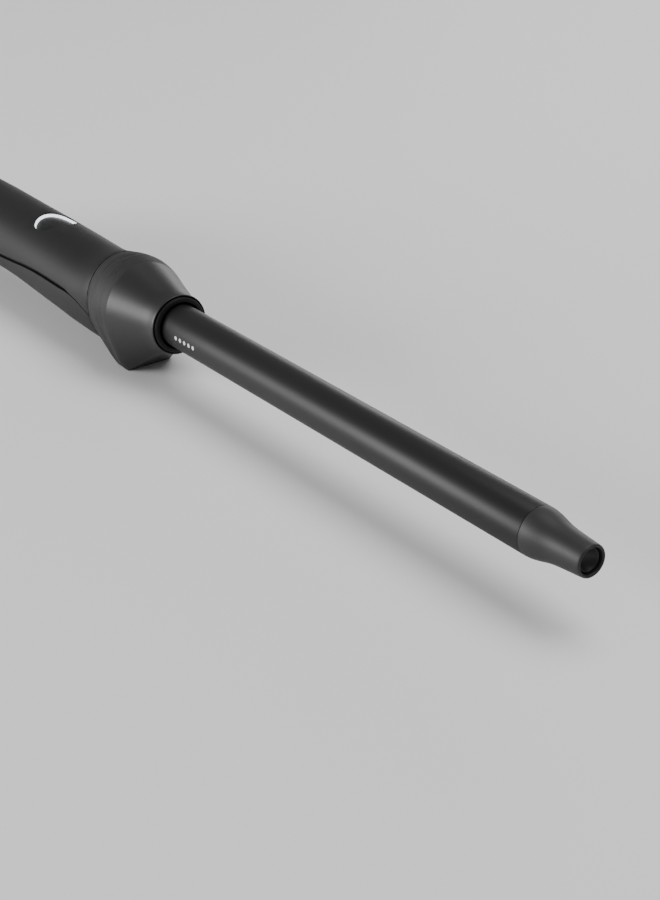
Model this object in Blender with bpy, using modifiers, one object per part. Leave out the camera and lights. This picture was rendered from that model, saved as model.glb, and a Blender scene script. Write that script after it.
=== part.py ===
"""Curling wand: a slim heated barrel on a round handle, made as separate pieces.

The foot under the collar stands on Z = 0, and the origin is on its flat, below the barrel's axis. +X runs along the barrel
to its cool tip and +Z is up. Sizes are in millimetres, and heights inside the wand are measured
from the barrel's axis, which every turned piece shares.
"""

import math

import bmesh
import bpy
from mathutils import Matrix, Vector

MM = 0.001

# ---- driving sizes ----
AXIS_Z = 21.2                 # barrel axis above the surface the wand rests on
GAP = 0.3                     # clearance between neighbouring pieces

BARREL_R = 7.0
BARREL_BORE_R = 6.3
BARREL_REAR_X = -2.0
TIP_SEAM_X = 192.9
TIP_END_X = 212.5
TIP_HOLE_R = 3.63

LIP_X = 22.7                  # front edge of the collar
LIP_R = 9.97
CONE_X = 19.0                 # where the short straight lip turns into the cone
CONE_HOLLOW = 1.12            # above 1 draws the cone's side in a little
CREASE_X = 1.3                # edge between the cone and the rounded rim
CREASE_LEAN = 0.8             # how far that edge leans back at the top
RIM_PLACE = 0.35              # widest place of the rim, as a share of the way back to the handle
RIM_SWELL = 1.6               # how soon the rim reaches its full width
NECK_CURVE = 2.2              # how late the rim draws in to the handle
COLLAR_REAR_X = -12.5
COLLAR_WALL = 2.2
COLLAR_BORE_R = 9.6

SHELL_FRONT_X = COLLAR_REAR_X - GAP
SHELL_REAR_X = -144.0
SHELL_WALL = 2.1

BUTTON_X = -57.5
WELL_R = 7.3
BUTTON_R = 6.9
BUTTON_DEPTH = 1.3            # button face below the handle's surface

BOARD_TOP = 1.6
PART_BASE = BOARD_TOP + GAP   # underside of what stands on the board

# x, crown above the axis, keel below it, half width, height of the widest line
HANDLE_SECTIONS = (
    (-12.8, 14.3, 18.4, 13.8, -0.6),
    (-17.5, 13.35, 18.15, 13.9, -1.4),
    (-23.5, 12.45, 17.45, 14.2, -2.0),
    (-31.5, 12.5, 16.8, 14.4, -2.1),
    (-39.5, 12.8, 16.1, 14.3, -1.7),
    (-54.5, 13.2, 15.1, 14.15, -1.0),
    (-75.5, 13.65, 13.75, 13.85, -0.1),
    (-92.0, 13.95, 13.6, 13.8, 0.1),
    (-113.5, 14.1, 13.6, 13.85, 0.2),
    (-132.0, 13.55, 13.25, 13.4, 0.1),
    (-144.0, 12.8, 12.8, 12.8, 0.0),
)

# x, height of the parting line between the two casings, half of the groove's height
PARTING_LINE = (
    (-12.8, -4.9, 0.2),
    (-19.0, -2.0, 0.2),
    (-25.0, -0.5, 0.25),
    (-30.0, 0.1, 0.7),
    (-52.5, 0.2, 0.7),
    (-75.5, -1.9, 0.7),
    (-110.0, -4.2, 0.7),
    (-144.0, -5.6, 0.7),
)

FINISHES = {
    "satin_coating": ((0.018, 0.018, 0.02), 0.38, 0.2),
    "tip_plastic": ((0.028, 0.028, 0.03), 0.55, 0.0),
    "casing_plastic": ((0.022, 0.022, 0.024), 0.5, 0.0),
    "dark_plastic": ((0.01, 0.01, 0.011), 0.6, 0.0),
    "light_guide": ((0.9, 0.92, 0.95), 0.35, 0.0),
    "aluminium": ((0.72, 0.73, 0.75), 0.35, 1.0),
    "ceramic": ((0.85, 0.82, 0.76), 0.6, 0.0),
    "screw_steel": ((0.5, 0.5, 0.52), 0.3, 1.0),
    "board_green": ((0.02, 0.16, 0.07), 0.5, 0.0),
    "chip_black": ((0.015, 0.015, 0.016), 0.45, 0.0),
    "part_blue": ((0.05, 0.14, 0.4), 0.45, 0.0),
    "brass": ((0.78, 0.58, 0.26), 0.3, 1.0),
    "carbon": ((0.05, 0.05, 0.055), 0.7, 0.2),
    "lead_red": ((0.5, 0.04, 0.03), 0.55, 0.0),
    "lead_white": ((0.75, 0.74, 0.7), 0.6, 0.0),
    "lead_brown": ((0.18, 0.08, 0.04), 0.55, 0.0),
    "lead_blue": ((0.05, 0.12, 0.45), 0.55, 0.0),
}


# ---- scene and finishes ----
def clear_scene():
    for thing in list(bpy.data.objects):
        bpy.data.objects.remove(thing)


def new_collection(name):
    group = bpy.data.collections.new(name)
    bpy.context.scene.collection.children.link(group)
    return group


def make_finish(name):
    """Principled material of a named finish, made once."""
    if name in bpy.data.materials:
        return bpy.data.materials[name]
    colour, roughness, metallic = FINISHES[name]
    finish = bpy.data.materials.new(name)
    finish.use_nodes = True
    shader = finish.node_tree.nodes["Principled BSDF"]
    shader.inputs["Base Color"].default_value = (*colour, 1.0)
    shader.inputs["Roughness"].default_value = roughness
    shader.inputs["Metallic"].default_value = metallic
    return finish


clear_scene()
WAND = new_collection("curling_wand")
TOOLS = new_collection("cutters")


# ---- modelling helpers ----
def add_object(name, data, finish):
    """Link mesh or curve data as one piece, or as a cutter when it has no finish."""
    thing = bpy.data.objects.new(name, data)
    if finish is None:
        TOOLS.objects.link(thing)
        thing.hide_render = True
        thing.display_type = 'WIRE'
    else:
        WAND.objects.link(thing)
        data.materials.append(make_finish(finish))
    return thing


def smooth_mesh(data, angle=32.0):
    data.shade_smooth()
    data.set_sharp_from_angle(angle=math.radians(angle))


def from_bmesh(name, work, finish):
    data = bpy.data.meshes.new(name)
    work.to_mesh(data)
    work.free()
    smooth_mesh(data)
    return add_object(name, data, finish)


def block(name, low, high, finish=None, bevel=0.0):
    """Box between two corners, given from the axis, with softened edges."""
    low, high = Vector(low), Vector(high)
    work = bmesh.new()
    bmesh.ops.create_cube(work, size=1.0)
    size = (high - low) * MM
    bmesh.ops.scale(work, vec=size, verts=work.verts)
    thing = from_bmesh(name, work, finish)
    thing.location = ((low + high) / 2 + Vector((0, 0, AXIS_Z))) * MM
    if bevel:
        soften = thing.modifiers.new("edges", 'BEVEL')
        soften.width = bevel * MM
        soften.segments = 2
    return thing


def rod(name, start, length, radius, finish=None, axis='Z', sides=18):
    """Straight round bar from a start point, running towards +axis."""
    work = bmesh.new()
    bmesh.ops.create_cone(work, cap_ends=True, segments=sides, radius1=radius * MM,
                          radius2=radius * MM, depth=length * MM)
    bmesh.ops.rotate(work, cent=(0, 0, 0), matrix=Matrix.Rotation(math.pi / sides, 3, 'Z'), verts=work.verts)
    bmesh.ops.translate(work, vec=(0, 0, length * MM / 2), verts=work.verts)
    thing = from_bmesh(name, work, finish)
    if axis == 'X':
        thing.rotation_euler = (0, math.pi / 2, 0)
    thing.location = (Vector(start) + Vector((0, 0, AXIS_Z))) * MM
    return thing


def turned(name, profile, finish=None, steps=36):
    """Body of revolution about the barrel axis from (x, radius) points, front to back outside."""
    data = bpy.data.meshes.new(name)
    points = [(radius * MM, 0.0, x * MM) for x, radius in profile]
    edges = [(i, i + 1) for i in range(len(points) - 1)]
    if min(radius for _, radius in profile) > 0.0:
        edges.append((len(points) - 1, 0))
    data.from_pydata(points, edges, [])
    thing = add_object(name, data, finish)
    thing.rotation_euler = (0, math.pi / 2, 0)
    thing.location = (0, 0, AXIS_Z * MM)
    screw = thing.modifiers.new("turn", 'SCREW')
    screw.steps = steps
    screw.render_steps = steps
    screw.use_merge_vertices = True
    screw.merge_threshold = 0.000001
    screw.use_smooth_shade = True
    return thing


def loft(name, rings, finish=None, endless=False):
    """Skin rings of equal point counts; the ends are capped, or joined when endless."""
    work = bmesh.new()
    rows = []
    for ring in rings:
        rows.append([work.verts.new((Vector(point) + Vector((0, 0, AXIS_Z))) * MM) for point in ring])
    spans = len(rows) if endless else len(rows) - 1
    for index in range(spans):
        near, far = rows[index], rows[(index + 1) % len(rows)]
        for side in range(len(near)):
            after = (side + 1) % len(near)
            work.faces.new((near[side], near[after], far[after], far[side]))
    if not endless:
        work.faces.new(rows[0])
        work.faces.new(rows[-1])
    bmesh.ops.recalc_face_normals(work, faces=work.faces)
    return from_bmesh(name, work, finish)


def combine(piece, tool, operation):
    change = piece.modifiers.new(operation.lower(), 'BOOLEAN')
    change.operation = operation
    change.object = tool
    change.solver = 'EXACT'


def cut(piece, *tools):
    for tool in tools:
        combine(piece, tool, 'DIFFERENCE')


def grow(piece, *tools):
    for tool in tools:
        combine(piece, tool, 'UNION')


def lead(name, route, diameter, finish):
    """Insulated wire on a smooth curve through its route's points."""
    steps = 3
    points = []
    padded = [route[0], *route, route[-1]]
    for index in range(1, len(padded) - 2):
        before, start, end, after = (Vector(padded[index + shift]) for shift in (-1, 0, 1, 2))
        for step in range(steps):
            t = step / steps
            points.append(0.5 * (2 * start + (end - before) * t
                                 + (2 * before - 5 * start + 4 * end - after) * t ** 2
                                 + (3 * start - before - 3 * end + after) * t ** 3))
    points.append(Vector(route[-1]))
    curve = bpy.data.curves.new(name, 'CURVE')
    curve.dimensions = '3D'
    curve.bevel_depth = diameter * MM / 2
    curve.bevel_resolution = 1
    curve.use_fill_caps = True
    spline = curve.splines.new('POLY')
    spline.points.add(len(points) - 1)
    for target, point in zip(spline.points, points):
        target.co = (*((point + Vector((0, 0, AXIS_Z))) * MM), 1.0)
    return add_object(name, curve, finish)


# ---- the handle's shape ----
def through(stations, x):
    """Values at x on smooth curves through stations that run from front to back."""
    count = len(stations)
    index = 0
    while index < count - 2 and x < stations[index + 1][0]:
        index += 1
    start, end = stations[index], stations[index + 1]
    before, after = stations[max(index - 1, 0)], stations[min(index + 2, count - 1)]
    span = end[0] - start[0]
    t = min(max((x - start[0]) / span, 0.0), 1.0)
    values = []
    for column in range(1, len(start)):
        slope_start = (end[column] - before[column]) / (end[0] - before[0]) * span
        slope_end = (after[column] - start[column]) / (after[0] - start[0]) * span
        values.append((2 * t ** 3 - 3 * t ** 2 + 1) * start[column] + (t ** 3 - 2 * t ** 2 + t) * slope_start
                      + (3 * t ** 2 - 2 * t ** 3) * end[column] + (t ** 3 - t ** 2) * slope_end)
    return values


def half_axes(x, inset):
    """Upper and lower half heights, half width and widest height of the handle's oval section."""
    crown, keel, half_width, widest = through(HANDLE_SECTIONS, x)
    return crown - widest - inset, keel + widest - inset, half_width - inset, widest


def oval_point(x, angle, inset=0.0):
    """Point on the handle's section, inset from its surface; angle 0 is +Y, 90 degrees is up."""
    above, below, half_width, widest = half_axes(x, inset)
    rise = above if math.sin(angle) >= 0 else below
    return (x, half_width * math.cos(angle), widest + rise * math.sin(angle))


def edge_angle(x, height, inset):
    """Angle on the +Y side at which the inset section stands at a height."""
    above, below, _, widest = half_axes(x, inset)
    rise = above if height >= widest else below
    return math.asin((height - widest) / rise)


def upper_arc(x, inset, height, count):
    start = edge_angle(x, height, inset)
    return [oval_point(x, start + (math.pi - 2 * start) * i / (count - 1), inset) for i in range(count)]


def lower_arc(x, inset, height, count):
    start = edge_angle(x, height, inset)
    return [oval_point(x, start - (math.pi + 2 * start) * i / (count - 1), inset) for i in range(count)]


def spaced(start, end, count):
    return [start + (end - start) * i / (count - 1) for i in range(count)]


ARC_POINTS = 16
SHELL_STATIONS = (*spaced(SHELL_FRONT_X, -31.0, 6), *spaced(-37.0, -79.0, 7), *spaced(-90.0, SHELL_REAR_X, 5))


def parting(x):
    return through(PARTING_LINE, x)


def casing_rings(arc, side):
    """Closed wall sections of one casing, above (+1) or below (-1) the parting groove."""
    rings = []
    for x in SHELL_STATIONS:
        height, half_gap = parting(x)
        edge = height + side * half_gap
        outer = arc(x, 0.0, edge, ARC_POINTS)
        inner = arc(x, SHELL_WALL, edge, ARC_POINTS)
        rings.append(outer + inner[::-1])
    return rings


def clamp_rib(name, arc, side):
    """Half bulkhead whose edge sits in the carrier's groove."""
    rings = []
    for x in (CLAMP_FRONT_X, CLAMP_REAR_X):
        height, half_gap = parting(x)
        rings.append(arc(x, SHELL_WALL / 2, height + side * (half_gap + 0.1), ARC_POINTS))
    rib = loft(name, rings)
    cut(rib, rod(name + "_bore", (CLAMP_REAR_X - 1, 0, 0), CLAMP_FRONT_X - CLAMP_REAR_X + 2, 6.8, axis='X'))
    return rib


CLAMP_FRONT_X = -17.2
CLAMP_REAR_X = -18.8
SCREW_X = {"front": -32.0, "rear": -122.0}
SCREW_SEAT = {"front": -13.0, "rear": -10.4}
BOARD_POST_X = {"front": -46.0, "rear": -89.0}


def make_top_shell():
    shell = loft("handle_top_shell", casing_rings(upper_arc, 1), "casing_plastic")
    grow(shell, clamp_rib("top_clamp_rib", upper_arc, 1))
    for place, x in SCREW_X.items():
        crown = through(HANDLE_SECTIONS, x)[0]
        grow(shell, rod(f"top_boss_{place}", (x, 0, -3.0), crown + 2.2, 3.2))
        cut(shell, rod(f"top_boss_{place}_hole", (x, 0, -4.0), 11.0, 1.6, sides=10))
    cut(shell, rod("button_well", (BUTTON_X, 0, 4.0), 14.0, WELL_R, sides=36))
    seat = rod("ring_seat", (BUTTON_X, 0, 4.0), 14.0, 8.6, sides=36)
    combine(seat, under_surface("ring_seat_limit", 0.35), 'INTERSECT')
    cut(shell, seat)
    return shell


def under_surface(name, inset, base=0.0):
    """Solid under the handle's surface round the button, down to a flat base."""
    rings = []
    for x in spaced(BUTTON_X + 11.0, BUTTON_X - 11.0, 5):
        rings.append(upper_arc(x, inset, base, 22))
    return loft(name, rings)


def make_lower_shell():
    shell = loft("handle_lower_shell", casing_rings(lower_arc, -1), "casing_plastic")
    grow(shell, clamp_rib("lower_clamp_rib", lower_arc, -1))
    for place, x in SCREW_X.items():
        keel = through(HANDLE_SECTIONS, x)[1]
        grow(shell, rod(f"tower_{place}", (x, 0, 1.2 - keel), keel - 4.7, 4.2))
        cut(shell, rod(f"tower_{place}_hole", (x, 0, -20.0), 18.0, 1.6, sides=10))
        cut(shell, rod(f"tower_{place}_counterbore", (x, 0, -20.0), 20.0 + SCREW_SEAT[place], 3.0))
    for place, x in BOARD_POST_X.items():
        keel = through(HANDLE_SECTIONS, x)[1]
        grow(shell, rod(f"board_post_{place}", (x, 0, 0.9 - keel), keel - 0.9 - GAP, 2.6))
        cut(shell, rod(f"board_post_{place}_hole", (x, 0, -8.0), 9.0, 1.1, sides=10))
    return shell


def make_trim_strip(side, sign):
    """Dark strip deep in the groove between the casings."""
    rings = []
    for x in spaced(-29.5, SHELL_REAR_X, 20):
        height, half_gap = parting(x)
        half_height = half_gap - GAP
        ring = []
        for inset, edge in ((0.9, half_height), (2.1, half_height), (2.1, -half_height), (0.9, -half_height)):
            angle = edge_angle(x, height + edge, inset)
            _, y, z = oval_point(x, angle, inset)
            ring.append((x, sign * y, z))
        rings.append(ring)
    return loft(f"trim_strip_{side}", rings, "dark_plastic")


def make_shell_screw(place):
    x, seat = SCREW_X[place], SCREW_SEAT[place]
    screw = rod(f"shell_screw_{place}", (x, 0, seat - GAP - 1.7), 1.7, 2.6, "screw_steel")
    grow(screw, rod(f"shell_screw_{place}_shank", (x, 0, seat - GAP - 0.4), 18.0, 1.3, sides=10))
    cut(screw, rod(f"shell_screw_{place}_socket", (x, 0, seat - GAP - 2.7), 1.9, 1.25, sides=6))
    return screw


# ---- the collar's shape ----
# Each outline is a circle above and a flat-bottomed foot below: the reach at the shoulder and at
# the crown, then the lower sides, each with its outward direction in degrees and its distance.
CREASE_OUTLINE = (14.3, 14.9, ((0.0, 15.0), (-19.1, 15.89), (-90.0, 21.27), (-160.9, 15.89), (-180.0, 15.0)))
RIM_OUTLINE = (15.4, 15.4, ((0.0, 15.6), (-19.4, 15.4), (-90.0, 21.7), (-160.6, 15.4), (-180.0, 15.6)))
FOOT_ROUNDING = 36.0


def lower_reach(angle, sides):
    """Distance from the axis to a rounded outline with the given straight sides."""
    total = 0.0
    for direction, distance in sides:
        facing = math.cos(angle - math.radians(direction))
        if facing > 0:
            total += (facing / distance) ** FOOT_ROUNDING
    return total ** (-1 / FOOT_ROUNDING)


def outline_reach(angle, outline):
    shoulder, crown, sides = outline
    if math.sin(angle) < 0:
        return lower_reach(angle, sides)
    across, upward = math.cos(angle) ** 4, math.sin(angle) ** 4
    return shoulder + (lower_reach(0.0, sides) - shoulder) * across + (crown - shoulder) * upward


def oval_reach(angle):
    """Distance from the axis to the handle's front section."""
    _, crown, keel, half_width, widest = HANDLE_SECTIONS[0]
    for rise in (crown - widest, keel + widest):
        a = (math.cos(angle) / half_width) ** 2 + (math.sin(angle) / rise) ** 2
        b = -2 * math.sin(angle) * widest / rise ** 2
        c = (widest / rise) ** 2 - 1
        reach = (math.sqrt(b * b - 4 * a * c) - b) / (2 * a)
        if reach * math.sin(angle) >= widest:
            break
    return reach


def collar_point(place, angle, inset=0.0):
    """Surface point: place runs 0 to 1 down the cone to the crease, and 1 to 2 back to the handle."""
    crease_x = CREASE_X - CREASE_LEAN * max(math.sin(angle), 0.0) ** 4
    crease = outline_reach(angle, CREASE_OUTLINE)
    if place <= 1.0:
        x = CONE_X + (crease_x - CONE_X) * place
        reach = LIP_R + (crease - LIP_R) * place ** CONE_HOLLOW
    else:
        back = place - 1.0
        x = crease_x + (COLLAR_REAR_X - crease_x) * back
        rim = outline_reach(angle, RIM_OUTLINE)
        if back < RIM_PLACE:
            reach = crease + (rim - crease) * (1 - (1 - back / RIM_PLACE) ** RIM_SWELL)
        else:
            reach = rim + (oval_reach(angle) - rim) * ((back - RIM_PLACE) / (1 - RIM_PLACE)) ** NECK_CURVE
    z = max(reach * math.sin(angle), -AXIS_Z)
    y = reach * math.cos(angle)
    shrink = 1.0 - inset / math.hypot(y, z)
    return (x, y * shrink, z * shrink)


COLLAR_SIDES = 44
COLLAR_ANGLES = [2 * math.pi * (i + 0.5) / COLLAR_SIDES for i in range(COLLAR_SIDES)]
OUTER_PLACES = (0.0, 0.18, 0.4, 0.7, 1.0, 1.1, 1.22, 1.35, 1.55, 1.78, 1.92, 2.0)
INNER_PLACES = (2.0, 1.6, 1.25, 1.0, 0.7, 0.45)


def collar_ring(place, inset=0.0):
    return [collar_point(place, angle, inset) for angle in COLLAR_ANGLES]


def round_ring(x, radius):
    return [(x, radius * math.cos(angle), radius * math.sin(angle)) for angle in COLLAR_ANGLES]


def make_collar():
    outside = [round_ring(LIP_X, LIP_R - 0.15), round_ring(LIP_X - 0.25, LIP_R)]
    outside += [collar_ring(place) for place in OUTER_PLACES]
    inside = [collar_ring(place, COLLAR_WALL) for place in INNER_PLACES]
    inside += [round_ring(10.5, COLLAR_BORE_R), round_ring(LIP_X, COLLAR_BORE_R)]
    collar = loft("collar", outside + inside, "casing_plastic", endless=True)
    grow(collar, block("collar_screw_block", (-7.2, -6.0, -19.5), (1.0, 6.0, -10.0)))
    for side in COLLAR_SCREW_Y:
        y = COLLAR_SCREW_Y[side]
        cut(collar, rod(f"collar_pilot_{side}", (-8.5, y, COLLAR_SCREW_Z), 9.0, 1.3, axis='X', sides=10))
    return collar


COLLAR_SCREW_Y = {"left": 3.0, "right": -3.0}
COLLAR_SCREW_Z = -11.9


def make_heat_shield_ring():
    return turned("heat_shield_ring", ((23.8, 7.75), (23.75, 8.3), (23.2, 9.15), (22.8, 9.3), (14.6, 9.3),
                                       (14.6, 7.7), (23.5, 7.7)), "dark_plastic", steps=32)


# ---- barrel and tip ----
def make_barrel_tube():
    tube = turned("barrel_tube", ((TIP_SEAM_X - 0.1, BARREL_R), (BARREL_REAR_X, BARREL_R),
                                  (BARREL_REAR_X, BARREL_BORE_R), (TIP_SEAM_X - 0.1, BARREL_BORE_R)),
                  "satin_coating", steps=40)
    cut(tube, rod("barrel_screw_hole", (BARREL_SCREW_X, 0, 4.0), 5.0, 1.2, sides=10))
    return tube


BARREL_SCREW_X = 5.0


def make_cool_tip():
    outside = [(TIP_END_X, 4.2), (TIP_END_X - 0.12, 4.45), (TIP_END_X - 0.5, 4.62), (205.5, 5.08), (202.5, 5.36),
               (200.5, 5.68), (199.0, 6.05), (197.2, 6.5), (195.5, 6.84), (194.2, 6.98), (TIP_SEAM_X + 0.2, 7.03),
               (TIP_SEAM_X + 0.2, 5.85), (180.0, 5.85)]
    inside = [(180.0, 2.6), (206.2, 2.6), (206.2, TIP_HOLE_R), (TIP_END_X - 0.4, TIP_HOLE_R),
              (TIP_END_X, 3.95)]
    return turned("cool_tip", outside + inside, "tip_plastic", steps=32)


def make_cool_tip_plug():
    return turned("cool_tip_plug", ((209.3, 0.0), (209.8, 1.6), (211.4, 3.0), (211.2, 3.3), (206.5, 3.3),
                                    (206.5, 0.0)), "tip_plastic", steps=24)


def make_barrel_carrier():
    carrier = turned("barrel_carrier", ((14.3, 9.2), (-7.7, 9.2), (-7.7, 10.9), (-10.2, 10.9), (-10.2, 8.0),
                                        (-16.6, 8.0), (-16.6, 6.4), (-19.4, 6.4), (-19.4, 8.0), (-24.0, 8.0),
                                        (-24.0, 3.2), (-2.3, 3.2), (-2.3, 7.3), (14.3, 7.3)), "dark_plastic", steps=32)
    grow(carrier, block("carrier_lug", (-10.0, -5.2, -13.6), (-7.9, 5.2, -9.0)))
    cut(carrier, rod("carrier_screw_hole", (BARREL_SCREW_X, 0, 5.0), 7.0, 1.2, sides=10))
    for side in COLLAR_SCREW_Y:
        hole = rod(f"lug_hole_{side}", (-11.5, COLLAR_SCREW_Y[side], COLLAR_SCREW_Z), 5.0, 1.3, axis='X', sides=10)
        cut(carrier, hole)
    return carrier


def make_collar_screw(side):
    y = COLLAR_SCREW_Y[side]
    screw = rod(f"collar_screw_{side}", (-12.0, y, COLLAR_SCREW_Z), 1.5, 1.8, "screw_steel", axis='X')
    grow(screw, rod(f"collar_screw_{side}_shank", (-10.9, y, COLLAR_SCREW_Z), 10.0, 1.0, axis='X', sides=10))
    return screw


def make_barrel_screw():
    screw = rod("barrel_screw", (BARREL_SCREW_X, 0, 6.6), 3.1, 0.9, "screw_steel", sides=10)
    cut(screw, rod("barrel_screw_socket", (BARREL_SCREW_X, 0, 9.1), 1.5, 0.5, sides=6))
    return screw


# ---- heater inside the barrel ----
SPREADER_R = 5.95
SPREADER_FLAT = 1.5
SPREADER_WALL = 0.6
SPREADER_X = (13.0, 176.0)
PLATE_LENGTH = 46.0
PLATE_X = {"rear": 16.0, "middle": 68.0, "front": 120.0}


def half_round(x, radius, flat, sign, count=13):
    """D-shaped outline: an arc over a flat, above (+1) or below (-1) the axis."""
    start = math.asin(flat / radius)
    angles = spaced(start, math.pi - start, count)
    return [(x, radius * math.cos(angle), sign * radius * math.sin(angle)) for angle in angles]


def make_heat_spreader(name, sign):
    front, rear = SPREADER_X[1], SPREADER_X[0]
    bore_r, bore_flat = SPREADER_R - SPREADER_WALL, SPREADER_FLAT + SPREADER_WALL
    rings = [half_round(front, SPREADER_R, SPREADER_FLAT, sign), half_round(rear, SPREADER_R, SPREADER_FLAT, sign),
             half_round(rear, bore_r, bore_flat, sign), half_round(front, bore_r, bore_flat, sign)]
    return loft(name, rings, "aluminium", endless=True)


def make_heater():
    make_heat_spreader("heat_spreader_upper", 1)
    make_heat_spreader("heat_spreader_lower", -1)
    for zone, x in PLATE_X.items():
        block(f"heater_plate_{zone}", (x, -3.0, -1.0), (x + PLATE_LENGTH, 3.0, 1.0), "ceramic", bevel=0.2)
    for zone, behind in (("rear", "middle"), ("front", "front")):
        rod(f"thermistor_{zone}", (PLATE_X[behind] - 4.2, 0, 0), 2.6, 0.8, "lead_red", axis='X', sides=10)


# y and z of each wire: in the barrel, in the carrier, beside the front boss, on the board, at its end
LEAD_PLACES = {
    "heater_lead_rear": ((0.0, 0.0), (0.0, 0.0), (4.4, 2.2), 3.6, (0.0, 0.0), 15.5),
    "heater_lead_middle": ((4.55, 0.75), (1.6, 1.0), (5.9, 2.2), 5.2, (2.0, 0.4), 67.5),
    "heater_lead_front": ((-4.55, 0.75), (-1.6, 1.0), (-4.4, 2.2), -3.6, (-2.0, 0.4), 119.5),
    "sensor_lead_rear": ((4.55, -0.75), (1.6, -1.0), (5.2, 0.3), 6.8, (1.4, 0.0), 65.0),
    "sensor_lead_front": ((-4.55, -0.75), (-1.6, -1.0), (-5.2, 0.3), -5.2, (-1.4, 0.0), 117.0),
}
LEAD_D = 0.9


def make_heater_leads():
    for name, (barrel, carrier, boss, board_y, end, end_x) in LEAD_PLACES.items():
        route = [(-44.0, board_y, 2.5), (-40.0, board_y * 1.02, 2.6), (-32.0, *boss), (-25.5, carrier[0], carrier[1] * 0.9),
                 (-13.0, *carrier), (-1.5, *carrier)]
        if barrel == carrier:
            route += [(7.0, *barrel), (end_x, *end)]
        else:
            route += [(6.0, (barrel[0] + carrier[0]) / 2, barrel[1] * 0.7), (12.0, *barrel), (20.0, *barrel),
                      (end_x - 6.5, *barrel), (end_x - 2.2, (barrel[0] + end[0]) / 2, barrel[1] * 0.6), (end_x, *end)]
        lead(name, route, LEAD_D, "lead_white" if "heater" in name else "lead_red")


# ---- button and switch ----
def make_power_button():
    face = rod("power_button", (BUTTON_X, 0, 6.6), 8.0, BUTTON_R, "dark_plastic", sides=36)
    combine(face, under_surface("button_face_limit", BUTTON_DEPTH), 'INTERSECT')
    grow(face, block("button_tabs", (BUTTON_X - 7.9, -2.1, 6.0), (BUTTON_X + 7.9, 2.1, 6.85)))
    cut(face, rod("button_hollow", (BUTTON_X, 0, 5.0), 3.9, 5.7, sides=32))
    grow(face, rod("button_stem", (BUTTON_X, 0, 5.4), 4.2, 1.6, sides=10))
    return face


def make_button_light_ring():
    ring = rod("button_light_ring", (BUTTON_X, 0, 7.2), 8.0, 8.3, "light_guide", sides=36)
    combine(ring, under_surface("light_ring_limit", 0.5), 'INTERSECT')
    cut(ring, rod("light_ring_bore", (BUTTON_X, 0, 5.0), 14.0, WELL_R, sides=36))
    for name, y in LED_Y.items():
        grow(ring, rod(f"light_leg_{name}", (BUTTON_X, y, 3.3), 4.2, 0.42, sides=12))
    return ring


LED_Y = {"left": 7.8, "right": -7.8}


def make_switch():
    body = block("switch_body", (BUTTON_X - 3.0, -3.0, PART_BASE), (BUTTON_X + 3.0, 3.0, 4.0), "chip_black")
    cut(body, rod("switch_bore", (BUTTON_X, 0, 2.25), 3.0, 2.1))
    rod("switch_plunger", (BUTTON_X, 0, 3.0), 2.1, 1.7, "dark_plastic")
    for name, y in LED_Y.items():
        block(f"ring_led_{name}", (BUTTON_X - 0.8, y - 0.6, PART_BASE), (BUTTON_X + 0.8, y + 0.6, 3.0), "light_guide")


# ---- control board ----
BOARD_X = (-110.0, -40.0)


def make_control_board():
    board = block("control_board", (BOARD_X[0], -9.5, 0.0), (BOARD_X[1], 9.5, BOARD_TOP), "board_green")
    for place, x in BOARD_POST_X.items():
        cut(board, rod(f"board_hole_{place}", (x, 0, -1.0), 4.0, 1.1, sides=10))
        screw = rod(f"board_screw_{place}", (x, 0, PART_BASE), 1.2, 1.9, "screw_steel")
        grow(screw, rod(f"board_screw_{place}_shank", (x, 0, -6.0), 8.2, 0.8, sides=10))
    return board


def make_board_parts():
    block("microcontroller", (-76.0, -3.5, PART_BASE), (-69.0, 3.5, 3.1), "chip_black", bevel=0.15)
    block("triac", (-86.5, -5.0, PART_BASE), (-78.0, 5.0, 6.3), "chip_black", bevel=0.2)
    block("capacitor", (-103.0, -6.8, PART_BASE), (-91.5, -1.2, 8.4), "part_blue", bevel=0.3)
    rod("fuse", (-103.0, 4.2, PART_BASE + 2.2), 11.5, 2.2, "ceramic", axis='X')
    rod("buzzer", (-62.0, 0, -4.8), 4.5, 4.5, "chip_black")
    block("terminal_block", (-109.7, -6.0, PART_BASE), (-104.4, 6.0, 8.0), "part_blue", bevel=0.3)


# ---- swivel cord entry ----
CAP_REAR_X = -152.3
GLAND_MOUTH_X = -170.0
CORD_BORE_R = 3.1


def make_rear_cap():
    outside = [(-139.0, 10.6), (-144.3, 10.6), (-144.3, 12.8), (-146.5, 12.62), (-148.8, 12.0), (-150.8, 10.8),
               (-151.9, 9.3), (CAP_REAR_X, 8.0)]
    inside = [(CAP_REAR_X, 6.0), (-144.9, 6.0), (-144.9, 9.0), (-139.0, 9.0)]
    return turned("rear_cap", outside + inside, "casing_plastic", steps=32)


def make_cord_gland():
    """Turning sleeve with a flange inside the cap, a grooved tail outside and a bore for the cord."""
    outside = [(-129.5, 4.5), (-142.9, 4.5), (-142.9, 7.6), (-144.5, 7.6), (-144.5, 5.6), (-154.0, 5.6)]
    grooves = 3
    pitch = 4.4
    for index in range(grooves):
        x = -155.0 - index * pitch
        radius = 5.5 - 0.3 * index
        outside += [(x, radius), (x - 0.2, radius - 0.7), (x - 1.4, radius - 0.7), (x - 1.6, radius - 0.05)]
    outside += [(GLAND_MOUTH_X + 0.4, 4.5), (GLAND_MOUTH_X, 4.2)]
    inside = [(GLAND_MOUTH_X, CORD_BORE_R), (-146.0, CORD_BORE_R), (-146.0, 1.6), (-129.5, 1.6)]
    return turned("cord_gland", outside + inside, "dark_plastic", steps=24)


CONTACT_X = {"front": -133.0, "rear": -137.5}


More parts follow.
